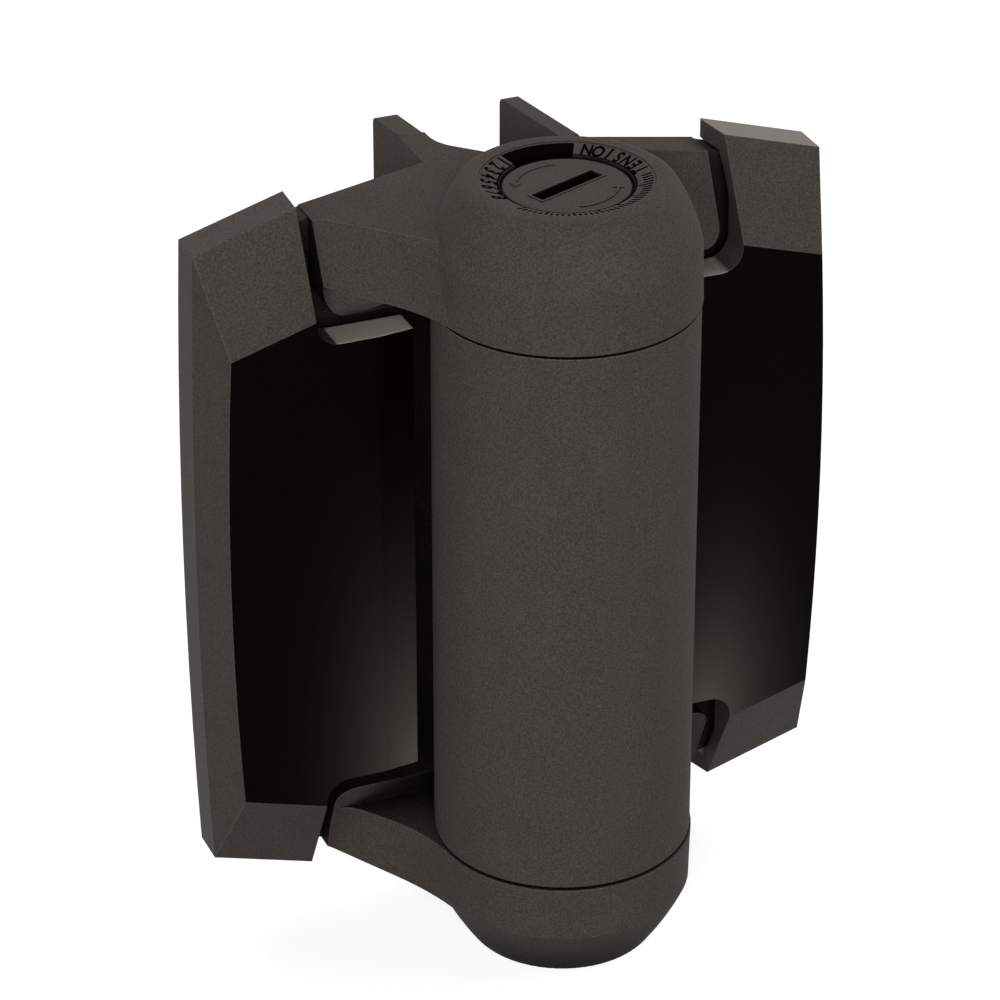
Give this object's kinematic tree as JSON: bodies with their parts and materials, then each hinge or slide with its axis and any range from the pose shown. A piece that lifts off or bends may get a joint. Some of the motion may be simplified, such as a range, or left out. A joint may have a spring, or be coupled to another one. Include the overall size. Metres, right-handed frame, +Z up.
{
  "type": "self-closing gate hinge",
  "caption": "Self-closing gate hinge of dark nylon: two snap-covered leaves with side-fixing legs, upright barrel with a torsion spring between collars, and a slotted push-and-turn adjuster.",
  "frame": {"origin": "centre of the post leaf's screw pattern, on its mounting face", "axes": "+X from the post leaf to the gate leaf, +Y out of the mounting face into the post, +Z up along the pin axis"},
  "size_m": [0.0988, 0.0644, 0.1228],
  "materials": {
    "moulded_nylon": "fine spark-eroded grain",
    "cover_nylon": "smoother satin moulding",
    "dial_plastic": "satin moulding",
    "bearing_plastic": "plain acetal",
    "bush_plastic": "plain black acetal",
    "steel": "zinc plated",
    "spring_steel": "stainless spring wire",
    "seal_rubber": "plain"
  },
  "bodies": {
    "post_side": {"post_leaf": "moulded_nylon", "post_cover": "cover_nylon", "dial_ring": "dial_plastic", "upper_pivot_sleeve": "bearing_plastic", "sleeve_retainer": "spring_steel", "lower_pivot_plug": "bearing_plastic", "plug_retainer": "spring_steel", "bottom_cap": "moulded_nylon", "detent_ring": "bearing_plastic", "click_spring": "spring_steel", "return_spring": "spring_steel"},
    "gate_side": {"gate_leaf": "moulded_nylon", "gate_cover": "cover_nylon", "upper_bearing": "bush_plastic", "lower_bearing": "bush_plastic", "spring_anchor": "bearing_plastic", "anchor_retainer": "spring_steel", "torsion_spring": "spring_steel"},
    "adjuster_carrier": {"adjuster_washer": "steel"},
    "adjuster": {"tension_adjuster": "dial_plastic", "spring_driver": "steel", "driver_clip": "spring_steel", "adjuster_seal": "seal_rubber"}
  },
  "joints": [
    {"name": "gate_swing", "type": "hinge", "parent": "post_side", "child": "gate_side", "pos_m": [0.032, -0.025, 0], "axis": [0, 0, -1], "range_deg": [0, 180], "stiffness_Nm_per_rad": 0.5, "springref_deg": -85.94, "deforming": ["torsion_spring"]},
    {"name": "adjuster_push", "type": "slide", "parent": "post_side", "child": "adjuster_carrier", "axis": [0, 0, -1], "range_m": [0, 0.0024], "stiffness_N_per_m": 1500, "springref_m": -0.002, "deforming": ["return_spring"]},
    {"name": "adjuster_turn", "type": "hinge", "parent": "adjuster_carrier", "child": "adjuster", "pos_m": [0.032, -0.025, 0], "axis": [0, 0, -1], "range_deg": [0, 330], "deforming": ["click_spring", "torsion_spring"]}
  ]
}
